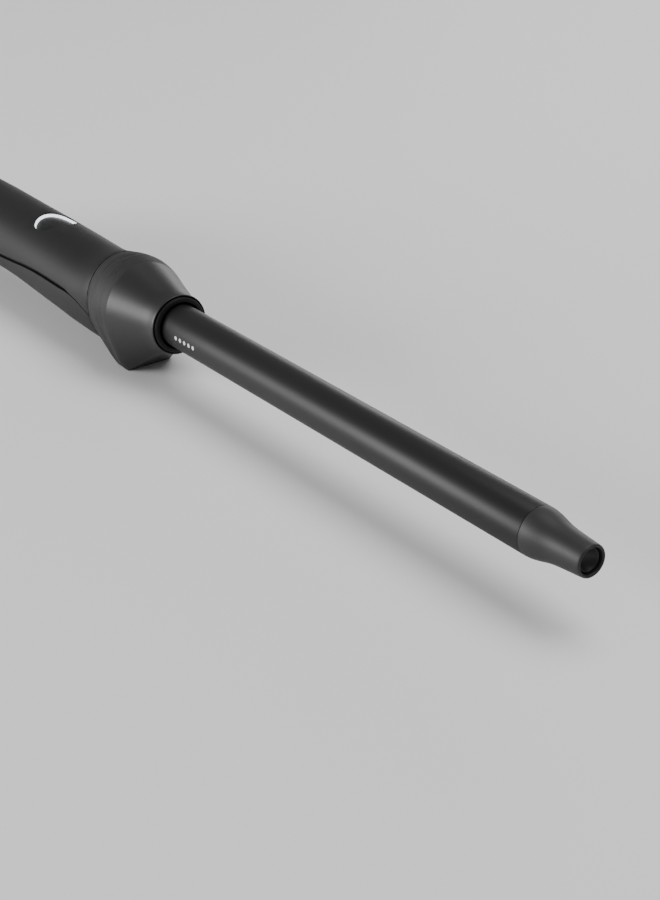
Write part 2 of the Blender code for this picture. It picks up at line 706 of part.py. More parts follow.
def make_swivel_parts():
    turned("gland_retainer", ((-141.2, 8.7), (-142.5, 8.7), (-142.5, 4.9), (-141.2, 4.9)), "screw_steel", steps=20)
    for place, x in CONTACT_X.items():
        turned(f"contact_ring_{place}", ((x + 1.0, 5.8), (x - 1.0, 5.8), (x - 1.0, 4.8), (x + 1.0, 4.8)),
               "brass", steps=20)
        block(f"brush_{place}", (x - 0.8, -1.2, 6.15), (x + 0.8, 1.2, 7.9), "carbon")
    block("brush_block", (-138.5, -3.6, 8.2), (-131.5, 3.6, 10.3), "dark_plastic", bevel=0.3)


def make_mains_leads():
    for side, sign, finish in (("left", 1, "lead_brown"), ("right", -1, "lead_blue")):
        lead(f"mains_lead_{side}", [(-110.6, sign * 3.2, 4.6), (-115.0, sign * 4.6, 5.2), (-122.0, sign * 5.6, 6.4),
                                    (-128.0, sign * 4.0, 8.4), (-131.0, sign * 2.2, 9.4)], 1.6, finish)


def build_wand():
    make_barrel_tube()
    make_cool_tip()
    make_cool_tip_plug()
    make_heat_shield_ring()
    make_collar()
    make_barrel_carrier()
    make_barrel_screw()
    for side in COLLAR_SCREW_Y:
        make_collar_screw(side)
    make_heater()
    make_heater_leads()
    make_top_shell()
    make_lower_shell()
    make_trim_strip("left", 1)
    make_trim_strip("right", -1)
    for place in SCREW_X:
        make_shell_screw(place)
    make_power_button()
    make_button_light_ring()
    make_switch()
    make_control_board()
    make_board_parts()
    make_rear_cap()
    make_cord_gland()
    make_swivel_parts()
    make_mains_leads()


build_wand()
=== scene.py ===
"""Looks of a slim curling wand: a coated barrel with a cool tip, a flared collar and a round handle.

Sizes are in millimetres along the barrel's axis, which runs level at AXIS_HEIGHT above the floor. Turned
pieces are pulled ring by ring along that axis, and the moulded pieces are softened copies of the frame's.
"""

from __future__ import annotations

import logging
import math
from collections.abc import Iterable, Sequence
from dataclasses import dataclass, field
from enum import Enum

import bpy
from mathutils import Matrix, Vector

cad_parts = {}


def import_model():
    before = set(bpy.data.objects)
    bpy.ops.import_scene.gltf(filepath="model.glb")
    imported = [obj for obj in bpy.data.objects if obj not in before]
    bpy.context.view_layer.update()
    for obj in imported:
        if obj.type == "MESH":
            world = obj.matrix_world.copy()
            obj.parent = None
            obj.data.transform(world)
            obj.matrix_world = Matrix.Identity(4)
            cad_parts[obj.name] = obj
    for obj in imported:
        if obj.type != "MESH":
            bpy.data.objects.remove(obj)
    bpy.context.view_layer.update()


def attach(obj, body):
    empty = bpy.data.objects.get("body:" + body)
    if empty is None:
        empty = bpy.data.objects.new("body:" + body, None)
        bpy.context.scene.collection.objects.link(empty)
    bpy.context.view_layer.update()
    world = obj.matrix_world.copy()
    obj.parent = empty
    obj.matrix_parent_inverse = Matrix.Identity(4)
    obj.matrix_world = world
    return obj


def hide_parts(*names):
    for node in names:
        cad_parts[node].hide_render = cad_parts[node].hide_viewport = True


LOG = logging.getLogger("curling_wand")

MM = 0.001
AXIS_HEIGHT = 21.2
SAME_PLACE = 0.001

Outline = tuple[tuple[float, float], ...]
Triple = tuple[float, float, float]
Colour = Triple


class Body(Enum):
    """Parts of the wand that the new pieces ride on, by their names in the frame."""

    WAND = "wand"
    BUTTON = "power_button"
    CORD_ENTRY = "cord_gland"


class Texture(Enum):
    """Surface detail that a finish carries."""

    MOULDED = "moulded"
    POWDER = "powder"
    TURNED = "turned"
    DRAWN = "drawn"
    FIRED = "fired"
    CIRCUIT = "circuit"
    SLEEVED = "sleeved"


# ---- shader tools ----
class Signal:
    """A number in a material, on which arithmetic adds Math nodes."""

    def __init__(self, recipe: Recipe, socket: bpy.types.NodeSocket) -> None:
        """Wrap a socket.

        Args:
            recipe: The recipe whose node tree holds the socket.
            socket: The output that carries the number.
        """
        self.recipe = recipe
        self.socket = socket

    def _math(self, operation: str, *values: Signal | float, clamp: bool = False) -> Signal:
        """Add one Math node.

        Args:
            operation: The node's operation.
            *values: Its inputs in order.
            clamp: Whether the result is held between 0 and 1.

        Returns:
            The node's result.
        """
        inputs = {index: value for index, value in enumerate(values)}
        return self.recipe.node("ShaderNodeMath", {"operation": operation, "use_clamp": clamp}, inputs)

    def __add__(self, other: Signal | float) -> Signal:
        """Sum."""
        return self._math("ADD", self, other)

    def __radd__(self, other: float) -> Signal:
        """Sum with a plain number first."""
        return self._math("ADD", other, self)

    def __sub__(self, other: Signal | float) -> Signal:
        """Difference."""
        return self._math("SUBTRACT", self, other)

    def __rsub__(self, other: float) -> Signal:
        """Difference from a plain number."""
        return self._math("SUBTRACT", other, self)

    def __mul__(self, other: Signal | float) -> Signal:
        """Product."""
        return self._math("MULTIPLY", self, other)

    def __rmul__(self, other: float) -> Signal:
        """Product with a plain number first."""
        return self._math("MULTIPLY", other, self)

    def __pow__(self, other: float) -> Signal:
        """Power."""
        return self._math("POWER", self, other)

    def size(self) -> Signal:
        """Value without its sign."""
        return self._math("ABSOLUTE", self)

    def wave(self) -> Signal:
        """Sine."""
        return self._math("SINE", self)

    def most(self, other: Signal | float) -> Signal:
        """Larger of two."""
        return self._math("MAXIMUM", self, other)

    def near(self, place: float, reach: float, blur: float) -> Signal:
        """Mask of the values round a place.

        Args:
            place: The middle of the kept range.
            reach: Half the width of the kept range.
            blur: Width over which the mask fades.

        Returns:
            1 inside the range, 0 outside it.
        """
        return self._math("MULTIPLY_ADD", (self - place).size() - reach, -1 / blur, 0.5, clamp=True)

    def beyond(self, place: float, blur: float) -> Signal:
        """Mask of the values past a place.

        Args:
            place: Where the mask is one half.
            blur: Width over which it rises. A negative width keeps the values before the place.

        Returns:
            1 past the place, 0 before it.
        """
        return self._math("MULTIPLY_ADD", self - place, 1 / blur, 0.5, clamp=True)

    def hypotenuse(self, other: Signal) -> Signal:
        """Length of the diagonal over two sides."""
        return (self * self + other * other) ** 0.5


class Recipe:
    """Node tree of one finish, with its shader."""

    noise_roughness: float = 0.55

    def __init__(self, name: str) -> None:
        """Start a material.

        Args:
            name: The material's name.
        """
        self.material = bpy.data.materials.new(name)
        self.material.use_nodes = True
        self.tree = self.material.node_tree
        self.shader = self.tree.nodes["Principled BSDF"]
        self._place: tuple[Signal, Signal, Signal] | None = None

    def node(self, kind: str, settings: dict[str, object] | None = None,
             inputs: dict[int | str, object] | None = None, output: int | str = 0) -> Signal:
        """Add a node.

        Args:
            kind: The node's type.
            settings: Its properties, set first.
            inputs: Values or signals of its sockets, by index or name.
            output: The output that is wanted.

        Returns:
            That output as a signal.
        """
        made = self.tree.nodes.new(kind)
        for key, value in (settings or {}).items():
            setattr(made, key, value)
        for key, value in (inputs or {}).items():
            if isinstance(value, Signal):
                self.tree.links.new(value.socket, made.inputs[key])
            else:
                made.inputs[key].default_value = value
        return Signal(self, made.outputs[output])

    def place(self) -> tuple[Signal, Signal, Signal]:
        """Find the position on the piece.

        Returns:
            Its coordinates in millimetres, with the height taken from the barrel's axis.
        """
        if self._place is None:
            spot = self.node("ShaderNodeTexCoord", output="Object")
            apart = self.node("ShaderNodeSeparateXYZ", inputs={0: spot})
            x, y, z = (Signal(self, apart.socket.node.outputs[index]) * (1 / MM) for index in range(3))
            self._place = (x, y, z - AXIS_HEIGHT)
        return self._place

    def noise(self, grain: float, detail: float = 3.0, stretch: Triple = (1.0, 1.0, 1.0),
              seed: float = 0.0) -> Signal:
        """Smooth random pattern from 0 to 1.

        Args:
            grain: Size of its spots in millimetres.
            detail: How many finer layers it holds.
            stretch: Frequency along each axis, as a share.
            seed: Shift that tells one pattern from another.

        Returns:
            The pattern.
        """
        spot = self.node("ShaderNodeTexCoord", output="Object")
        scale = 1 / (grain * MM)
        spread = self.node("ShaderNodeMapping", inputs={
            "Vector": spot, "Location": (seed, seed * 0.7, seed * 1.3),
            "Scale": tuple(scale * share for share in stretch)})
        return self.node("ShaderNodeTexNoise", inputs={
            "Vector": spread, "Scale": 1.0, "Detail": detail, "Roughness": self.noise_roughness})

    def cells(self, grain: float) -> Signal:
        """Distance pattern of scattered cells, 0 at each cell's middle.

        Args:
            grain: Size of a cell in millimetres.

        Returns:
            The pattern.
        """
        spot = self.node("ShaderNodeTexCoord", output="Object")
        return self.node("ShaderNodeTexVoronoi", inputs={"Vector": spot, "Scale": 1 / (grain * MM)})

    def blend(self, share: Signal, first: Signal | Colour, second: Signal | Colour) -> Signal:
        """Mix two colours.

        Args:
            share: How much of the second shows.
            first: Colour where the share is 0.
            second: Colour where it is 1.

        Returns:
            The mixed colour.
        """
        ends = [end if isinstance(end, Signal) else (*end, 1.0) for end in (first, second)]
        return self.node("ShaderNodeMix", {"data_type": "RGBA"}, {0: share, 6: ends[0], 7: ends[1]}, output=2)

    def feed(self, socket: str, value: Signal | float | Colour) -> None:
        """Set or link one socket of the shader.

        Args:
            socket: Its name.
            value: A signal to link, or a constant.
        """
        target = self.shader.inputs[socket]
        if isinstance(value, Signal):
            self.tree.links.new(value.socket, target)
        elif isinstance(value, tuple):
            target.default_value = (*value, 1.0)
        else:
            target.default_value = value

    def relief(self, height: Signal) -> None:
        """Raise the surface by a height in millimetres."""
        bump = self.node("ShaderNodeBump", inputs={"Strength": 1.0, "Distance": MM, "Height": height})
        self.feed("Normal", bump)


@dataclass(frozen=True)
class Finish:
    """A material with its colour, gloss and fine relief."""

    name: str
    colour: Colour
    worn: Colour
    roughness: float
    texture: Texture = Texture.MOULDED
    roughness_spread: float = 0.08
    metallic: float = 0.0
    grain: float = 0.22
    depth: float = 0.006
    mottle: float = 14.0
    specular: float = 0.5
    coat: float = 0.0

    @property
    def slot(self) -> str:
        """The record's slot that this finish belongs to."""
        return self.name

    def height(self, recipe: Recipe) -> Signal:
        """Fine relief in millimetres.

        Args:
            recipe: The recipe that takes the nodes.

        Returns:
            The relief.
        """
        x, y, z = recipe.place()
        match self.texture:
            case Texture.POWDER:
                return (recipe.noise(self.grain, 4.0) + recipe.cells(self.grain * 1.6) * 0.4) * self.depth
            case Texture.TURNED:
                rings = (y.hypotenuse(z) * (math.tau / self.grain) + recipe.noise(2.0) * 2.0).wave()
                return (rings * 0.5 + recipe.noise(self.grain * 2.0)) * self.depth
            case Texture.DRAWN:
                return recipe.noise(self.grain, 4.0, stretch=(0.03, 1.0, 1.0)) * self.depth
            case Texture.FIRED:
                pits = recipe.cells(self.grain * 3.0).beyond(0.25, 0.2)
                return (pits + recipe.noise(self.grain) * 0.5) * self.depth
            case Texture.CIRCUIT:
                tracks = ((x * 2.1).wave() * (y * 1.7 + (x * 0.5).wave() * 2.0).wave()).beyond(0.1, 0.1)
                return (tracks + recipe.noise(self.grain) * 0.3) * self.depth
            case Texture.SLEEVED:
                return (recipe.noise(self.grain, 2.0) + recipe.noise(3.0) * 2.0) * self.depth
            case _:
                moulded = recipe.noise(self.grain) * 0.7 + recipe.cells(self.grain * 1.3) * 0.6
                return moulded * self.depth

    def tone(self, recipe: Recipe) -> Signal:
        """Colour that drifts slowly between fresh and worn.

        Args:
            recipe: The recipe that takes the nodes.

        Returns:
            The colour.
        """
        patches = recipe.noise(self.mottle, 4.0, seed=3.0).beyond(0.52, 0.5)
        specks = recipe.noise(self.grain * 2.5, 2.0, seed=5.0).beyond(0.55, 0.6)
        return recipe.blend(patches * 0.6 + specks * 0.4, self.colour, self.worn)

    def gloss(self, recipe: Recipe) -> Signal:
        """Roughness with faint handling marks.

        Args:
            recipe: The recipe that takes the nodes.

        Returns:
            The roughness.
        """
        smudges = recipe.noise(self.mottle * 0.7, 5.0, seed=8.0)
        fine = recipe.noise(self.grain * 3.0, 2.0, seed=11.0)
        uneven = (smudges - 0.5) + (fine - 0.5) * 0.5
        return self.roughness + uneven * self.roughness_spread

    def mix(self) -> bpy.types.Material:
        """Make the material, or find it if it was made before.

        Returns:
            The material.
        """
        title = f"{self.name}_finish"
        found = bpy.data.materials.get(title)
        if found:
            return found
        recipe = Recipe(title)
        recipe.feed("Base Color", self.tone(recipe))
        recipe.feed("Roughness", self.gloss(recipe))
        recipe.feed("Metallic", self.metallic)
        recipe.feed("Specular IOR Level", self.specular)
        recipe.feed("Coat Weight", self.coat)
        recipe.relief(self.height(recipe))
        self.accent(recipe)
        return recipe.material

    def accent(self, recipe: Recipe) -> None:
        """Extra work on the finished recipe; a plain finish has none."""


@dataclass(frozen=True)
class BarrelCoating(Finish):
    """Satin coating with a row of pale printed dots by the collar."""

    dot_start: float = 31.8
    dot_pitch: float = 2.5
    dot_count: int = 5
    dot_radius: float = 0.66
    dot_blur: float = 0.12
    dot_bearing: float = 178.0
    dot_colour: Colour = (0.62, 0.63, 0.65)

    def tone(self, recipe: Recipe) -> Signal:
        """Coating colour with the dots printed over it.

        Args:
            recipe: The recipe that takes the nodes.

        Returns:
            The colour.
        """
        x, y, z = recipe.place()
        bare = super().tone(recipe)
        print_angle = math.radians(self.dot_bearing)
        around = z * -math.cos(print_angle) + y * math.sin(print_angle)
        facing = (y * math.cos(print_angle) + z * math.sin(print_angle)).beyond(0.0, 0.5)
        middle = self.dot_start + self.dot_pitch * (self.dot_count - 1) / 2
        row = x.near(middle, self.dot_pitch * self.dot_count / 2, 0.05)
        along = recipe.node("ShaderNodeMath", {"operation": "PINGPONG"},
                            {0: x - self.dot_start, 1: self.dot_pitch / 2})
        dots = along.hypotenuse(around).beyond(self.dot_radius, -self.dot_blur)
        return recipe.blend(dots * row * facing, bare, self.dot_colour)


@dataclass(frozen=True)
class CollarPlastic(Finish):
    """Satin cone in front, and a matt band behind its crease."""

    crease: float = 1.75
    lean: float = 0.8
    shared_slot: str = "casing_plastic"
    lean_height: float = 15.0
    band_colour: Colour = (0.0115, 0.0118, 0.0118)
    band_roughness: float = 0.64
    streak: float = 0.03

    @property
    def slot(self) -> str:
        """The casings' slot, which the collar shares."""
        return self.shared_slot

    def band(self, recipe: Recipe) -> Signal:
        """Mask of the ribbed band.

        Args:
            recipe: The recipe that takes the nodes.

        Returns:
            1 behind the crease, 0 on the cone.
        """
        x, _, z = recipe.place()
        top = z.most(0.0) * (1 / self.lean_height)
        return (x + (top ** 4.0) * self.lean).beyond(self.crease, -0.25)

    def tone(self, recipe: Recipe) -> Signal:
        """Casing colour, with lighter streaks painted round the band as painted sheen on its ribs.

        Args:
            recipe: The recipe that takes the nodes.

        Returns:
            The colour.
        """
        # Painted sheen: lighter streaks round the band stand in for the light on its ribs.
        painted_rib_sheen = recipe.noise(1.2, 3.0, stretch=(3.0, 0.15, 0.15), seed=9.0).beyond(0.5, 0.7)
        band_with_painted_sheen = recipe.blend(painted_rib_sheen, self.band_colour, tuple(part * 1.5 for part in self.band_colour))
        return recipe.blend(self.band(recipe), super().tone(recipe), band_with_painted_sheen)

    def gloss(self, recipe: Recipe) -> Signal:
        """Satin in front, matt on the band."""
        satin = super().gloss(recipe)
        return satin + (self.band_roughness - satin) * self.band(recipe)

    def height(self, recipe: Recipe) -> Signal:
        """Moulded grain, with fine turning streaks on the band."""
        streaks = recipe.noise(0.5, 2.0, stretch=(1.0, 0.05, 0.05), seed=4.0)
        return super().height(recipe) + streaks * self.streak * self.band(recipe)


@dataclass(frozen=True)
class LightGuide(Finish):
    """Milky light guide that glows softly."""

    glow: Colour = (0.92, 0.96, 1.0)
    strength: float = 2.3
    dimming: float = 0.7

    def accent(self, recipe: Recipe) -> None:
        """Add the glow, a little uneven as light guides are.

        Args:
            recipe: The recipe that takes the nodes.
        """
        share = recipe.noise(4.0, 2.0, seed=2.0).beyond(0.5, 1.2)
        dim = tuple(part * self.dimming for part in self.glow)
        recipe.feed("Emission Color", recipe.blend(share, self.glow, dim))
        recipe.feed("Emission Strength", self.strength)


# ---- finishes of the outside ----
COATING = BarrelCoating("satin_coating", (0.0095, 0.0095, 0.0102), (0.0125, 0.0125, 0.0132), 0.42,
                        Texture.POWDER, roughness_spread=0.05, grain=0.16, depth=0.0022, mottle=40.0,
                        specular=0.25)
TIP = Finish("tip_plastic", (0.0155, 0.0155, 0.0165), (0.02, 0.02, 0.021), 0.5, grain=0.2, depth=0.005,
             mottle=9.0, specular=0.34)
CASING = Finish("casing_plastic", (0.0115, 0.0115, 0.0125), (0.0155, 0.0155, 0.0165), 0.5, grain=0.24,
                depth=0.005, mottle=26.0, specular=0.22)
COLLAR = CollarPlastic("casing_plastic_collar", (0.0115, 0.0115, 0.0125), (0.0155, 0.0155, 0.0165), 0.44,
                       grain=0.24, depth=0.004, mottle=20.0, specular=0.37)
# The button's black is made darker than the casings' as painted shade of the well it sits in.
BUTTON = Finish("button_plastic", (0.0085, 0.0085, 0.0092), (0.0115, 0.0115, 0.0122), 0.46, grain=0.18,
                depth=0.003, mottle=6.0, specular=0.22)
DARK = Finish("dark_plastic", (0.0035, 0.0035, 0.0038), (0.006, 0.006, 0.0063), 0.6, grain=0.3, depth=0.006,
              mottle=8.0, specular=0.2)
GUIDE = LightGuide("light_guide", (0.82, 0.84, 0.86), (0.74, 0.76, 0.78), 0.32, grain=0.4, depth=0.003,
                   mottle=4.0)

# ---- finishes of the inside ----
ALUMINIUM = Finish("aluminium", (0.71, 0.72, 0.74), (0.6, 0.61, 0.63), 0.34, Texture.DRAWN, metallic=1.0,
                   grain=0.12, depth=0.006, mottle=22.0)
CERAMIC = Finish("ceramic", (0.82, 0.79, 0.73), (0.7, 0.66, 0.6), 0.62, Texture.FIRED, grain=0.2, depth=0.01,
                 mottle=5.0)
STEEL = Finish("screw_steel", (0.5, 0.5, 0.52), (0.36, 0.36, 0.38), 0.28, Texture.TURNED, metallic=1.0,
               grain=0.14, depth=0.004, mottle=2.0)
BOARD = Finish("board_green", (0.018, 0.15, 0.065), (0.03, 0.22, 0.1), 0.42, Texture.CIRCUIT, grain=0.2,
               depth=0.02, mottle=7.0, coat=0.3)
CHIP = Finish("chip_black", (0.014, 0.014, 0.015), (0.028, 0.028, 0.03), 0.48, grain=0.12, depth=0.006,
              mottle=3.0)
BLUE = Finish("part_blue", (0.045, 0.13, 0.38), (0.07, 0.17, 0.45), 0.42, grain=0.2, depth=0.006, mottle=4.0)
BRASS = Finish("brass", (0.76, 0.56, 0.25), (0.55, 0.36, 0.14), 0.3, Texture.TURNED, metallic=1.0, grain=0.1,
               depth=0.004, mottle=3.0)
CARBON = Finish("carbon", (0.04, 0.04, 0.044), (0.085, 0.085, 0.09), 0.66, Texture.FIRED, metallic=0.2,
                grain=0.1, depth=0.01, mottle=2.0)
RED = Finish("lead_red", (0.46, 0.035, 0.03), (0.36, 0.03, 0.026), 0.5, Texture.SLEEVED, grain=0.3,
             depth=0.008)
WHITE = Finish("lead_white", (0.74, 0.72, 0.67), (0.62, 0.58, 0.5), 0.58, Texture.SLEEVED, grain=0.12,
               depth=0.012)
BROWN = Finish("lead_brown", (0.17, 0.075, 0.038), (0.13, 0.055, 0.03), 0.5, Texture.SLEEVED, grain=0.3,
               depth=0.008)
NAVY = Finish("lead_blue", (0.045, 0.11, 0.42), (0.035, 0.085, 0.34), 0.5, Texture.SLEEVED, grain=0.3,
              depth=0.008)


# ---- modelling bench ----
def axis_point(x: float) -> Triple:
    """Point on the barrel's axis, in metres."""
    return (x * MM, 0.0, AXIS_HEIGHT * MM)


class Bench:
    """Modelling moves on one piece at a time."""

    turned_corner: float = 38.0
    turned_smooth: float = 50.0
    moulded_smooth: float = 40.0
    dome_steps: Outline = ((0.4, 0.6), (0.4, 0.5))
    weld_distance: float = 0.002
    quad_face_angle: float = 25.0
    quad_shape_angle: float = 60.0

    @staticmethod
    def clear() -> None:
        """Leave edit mode and let go of every piece."""
        if bpy.context.object and bpy.context.object.mode != "OBJECT":
            bpy.ops.object.mode_set(mode="OBJECT")
        bpy.ops.object.select_all(action="DESELECT")

    @classmethod
    def take(cls, piece: bpy.types.Object) -> None:
        """Select one piece and nothing else.

        Args:
            piece: The piece.
        """
        cls.clear()
        piece.select_set(True)
        bpy.context.view_layer.objects.active = piece

    @classmethod
    def edit(cls, piece: bpy.types.Object, part: str = "EDGE") -> None:
        """Open a piece for editing with all of it selected.

        Args:
            piece: The piece.
            part: Kind of element that selections work on.
        """
        cls.take(piece)
        bpy.ops.object.mode_set(mode="EDIT")
        bpy.ops.mesh.select_mode(type=part)
        bpy.ops.mesh.select_all(action="SELECT")

    @classmethod
    def pick_edges(cls, piece: bpy.types.Object, low: float, high: float) -> None:
        """Select the edges of an opened piece that lie between two planes across the axis.

        Args:
            piece: The piece, open for editing.
            low: The first plane's place along the axis.
            high: The second plane's place.
        """
        bpy.ops.mesh.select_all(action="DESELECT")
        bpy.ops.object.mode_set(mode="OBJECT")
        for edge in piece.data.edges:
            edge.select = all(low < piece.data.vertices[index].co.x / MM < high for index in edge.vertices)
        bpy.ops.object.mode_set(mode="EDIT")

    @classmethod
    def pick_outside(cls, piece: bpy.types.Object, place: float) -> None:
        """Select the outer points of an opened piece in one plane across the axis.

        Args:
            piece: The piece, open for editing.
            place: The plane's place along the axis.
        """
        bpy.ops.mesh.select_all(action="DESELECT")
        bpy.ops.object.mode_set(mode="OBJECT")
        for point in piece.data.vertices:
            spoke = point.co / MM - Vector((place, 0, AXIS_HEIGHT))
            point.select = abs(spoke.x) < SAME_PLACE and spoke.dot(point.normal) > spoke.length / 2
        bpy.ops.object.mode_set(mode="EDIT")

    @staticmethod
    def pick_sharp(angle: float) -> None:
        """Select the sharp edges of the opened piece.

        Args:
            angle: Least angle in degrees that counts as sharp.
        """
        bpy.ops.mesh.select_all(action="DESELECT")
        bpy.ops.mesh.edges_select_sharp(sharpness=math.radians(angle))

    @classmethod
    def round_edges(cls, piece: bpy.types.Object, width: float, angle: float) -> None:
        """Round a piece's sharp edges and shade it smoothly.

        Args:
            piece: The piece.
            width: Width of the rounding.
            angle: Least angle in degrees that is rounded.
        """
        cls.modify(piece, "BEVEL", width=width * MM, segments=3, limit_method="ANGLE",
                   angle_limit=math.radians(angle), use_clamp_overlap=True)
        cls.smooth(piece, cls.moulded_smooth)

    @classmethod
    def modify(cls, piece: bpy.types.Object, kind: str, **settings: object) -> None:
        """Add a modifier and apply it.

        Args:
            piece: The piece.
            kind: The modifier's type.
            **settings: Its properties.
        """
        cls.take(piece)
        change = piece.modifiers.new(kind.lower(), kind)
        for key, value in settings.items():
            setattr(change, key, value)
        bpy.ops.object.modifier_apply(modifier=change.name)

    @classmethod
    def smooth(cls, piece: bpy.types.Object, angle: float) -> None:
        """Shade a piece smoothly except over sharp edges.

        Args:
            piece: The piece.
            angle: Least angle in degrees that stays sharp.
        """
        cls.take(piece)
        bpy.ops.object.shade_smooth_by_angle(angle=math.radians(angle), keep_sharp_edges=False)
        cls.clear()

    @classmethod
    def turn(cls, name: str, outline: Outline, sides: int = 64, soften: float = 0.12,
             rounds: int = 1) -> bpy.types.Object:
        """Pull rings along the barrel's axis and join the last one to the first.

        Args:
            name: The piece's name.
            outline: Place and radius of each ring. A radius of 0 at both ends closes the piece there.
            sides: Points in a ring.
            soften: Width of the rounding on sharp edges.
            rounds: Subdivisions applied at the end.

        Returns:
            The piece.
        """
        cls.clear()
        solid = outline[0][1] == 0.0
        rings = outline[1:-1] if solid else outline
        (x, radius), rest = rings[0], rings[1:]
        bpy.ops.mesh.primitive_circle_add(vertices=sides, radius=radius * MM,
                                          rotation=(0, math.pi / 2, 0), location=axis_point(x))
        piece = bpy.context.object
        piece.name = piece.data.name = name
        bpy.ops.object.transform_apply(location=True, rotation=True, scale=True)
        cls.edit(piece)
        for next_x, next_radius in rest:
            bpy.ops.mesh.extrude_region_move(TRANSFORM_OT_translate={"value": ((next_x - x) * MM, 0, 0)})
            share = next_radius / radius
            bpy.ops.transform.resize(value=(1, share, share), center_override=axis_point(next_x))
            x, radius = next_x, next_radius
        if solid:
            cls.close_end(outline[-1][0], x)
            cls.pick_edges(piece, rings[0][0] - SAME_PLACE, rings[0][0] + SAME_PLACE)
            cls.close_end(outline[0][0], rings[0][0])
        else:
            bpy.ops.mesh.select_all(action="DESELECT")
            bpy.ops.mesh.select_non_manifold()
            bpy.ops.mesh.bridge_edge_loops()
        bpy.ops.mesh.select_all(action="SELECT")
        bpy.ops.mesh.normals_make_consistent(inside=False)
        cls.pick_sharp(cls.turned_corner)
        bpy.ops.mesh.bevel(offset=soften * MM, segments=2, affect="EDGES", clamp_overlap=True)
        bpy.ops.object.mode_set(mode="OBJECT")
        if rounds:
            cls.modify(piece, "SUBSURF", levels=rounds, render_levels=rounds)
        cls.smooth(piece, cls.turned_smooth)
        return piece

    @classmethod
    def close_end(cls, end_x: float, ring_x: float) -> None:
        """Draw the selected ring to a point on the axis.

        Args:
            end_x: Where the point stands.
            ring_x: Where the ring stands.
        """
        length = (end_x - ring_x) * MM
        for advance, share in cls.dome_steps:
            bpy.ops.mesh.extrude_region_move(TRANSFORM_OT_translate={"value": (length * advance, 0, 0)})
            bpy.ops.transform.resize(value=(1, share, share))
        left = 1 - sum(advance for advance, _ in cls.dome_steps)
        bpy.ops.mesh.extrude_region_move(TRANSFORM_OT_translate={"value": (length * left, 0, 0)})
        bpy.ops.mesh.merge(type="CENTER")

    @classmethod
    def copy_node(cls, node: str, name: str) -> bpy.types.Object:
        """Copy a frame node into a piece of its own and join its loose triangles.

        Args:
            node: The frame node.
            name: The new piece's name.

        Returns:
            The piece.
        """
        source = bpy.data.objects[node]
        piece = bpy.data.objects.new(name, source.data.copy())
        piece.data.name = name
        bpy.context.scene.collection.objects.link(piece)
        cls.edit(piece)
        bpy.ops.mesh.customdata_custom_splitnormals_clear()
        bpy.ops.mesh.remove_doubles(threshold=cls.weld_distance * MM)
        bpy.ops.mesh.tris_convert_to_quads(face_threshold=math.radians(cls.quad_face_angle),
                                           shape_threshold=math.radians(cls.quad_shape_angle))
        bpy.ops.object.mode_set(mode="OBJECT")
        return piece


def dress(piece: bpy.types.Object, finish: Finish, body: Body | None = None,
          stands_for: str | None = None) -> None:
    """Give a piece its finish, and say what it rides on and stands for.

    Args:
        piece: The piece.
        finish: Its finish.
        body: The moving part it rides on; a frame node rides already.
        stands_for: The frame node it replaces.
    """
    piece.data.materials.clear()
    piece.data.materials.append(finish.mix())
    if body:
        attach(piece, body.value)
    if stands_for:
        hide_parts(stands_for)
    LOG.info("%s: %s, %d faces", piece.name, finish.name, len(piece.data.polygons))


def dress_nodes(names: Iterable[str], finish: Finish) -> None:
    """Give frame nodes a finish.

    Args:
        names: The nodes.
        finish: Their finish.
    """
    for name in names:
        dress(bpy.data.objects[name], finish)


# ---- sub-assemblies ----
@dataclass
class Barrel:
    """Coated tube with the heater inside it."""

    front: float = 192.97
    rear: float = -2.0
    rings: tuple[float, ...] = (120.0, 50.0)
    radius: float = 7.0
    bore: float = 6.3
    screw_place: float = 5.0
    drill_radius: float = 1.2
    drill_depth: float = 5.0
    drill_height: float = 6.5
    spreaders: tuple[str, ...] = ("heat_spreader_upper", "heat_spreader_lower")
    plates: tuple[str, ...] = ("heater_plate_rear", "heater_plate_middle", "heater_plate_front")
    heater_leads: tuple[str, ...] = ("heater_lead_rear", "heater_lead_middle", "heater_lead_front")
    sensors: tuple[str, ...] = ("sensor_lead_rear", "sensor_lead_front", "thermistor_rear",
                                "thermistor_front")

    def build(self) -> None:
        """Turn the tube, drill it for its screw and finish everything in it."""
        outside = [(x, self.radius) for x in (self.front, *self.rings, self.rear)]
        outline = (*outside, (self.rear, self.bore), (self.front, self.bore))
        tube = Bench.turn("coated_tube", outline, sides=128, soften=0.1, rounds=0)
        Bench.clear()
        place = Vector((self.screw_place, 0, AXIS_HEIGHT + self.drill_height)) * MM
        bpy.ops.mesh.primitive_cylinder_add(vertices=24, radius=self.drill_radius * MM,
                                            depth=self.drill_depth * MM, location=place)
        drill = bpy.context.object
        Bench.modify(tube, "BOOLEAN", object=drill, operation="DIFFERENCE", solver="EXACT")
        bpy.data.objects.remove(drill)
        Bench.smooth(tube, Bench.moulded_smooth)
        dress(tube, COATING, Body.WAND, "barrel_tube")
        dress_nodes(self.spreaders, ALUMINIUM)
        dress_nodes(self.plates, CERAMIC)
        dress_nodes(self.heater_leads, WHITE)
        dress_nodes(self.sensors, RED)


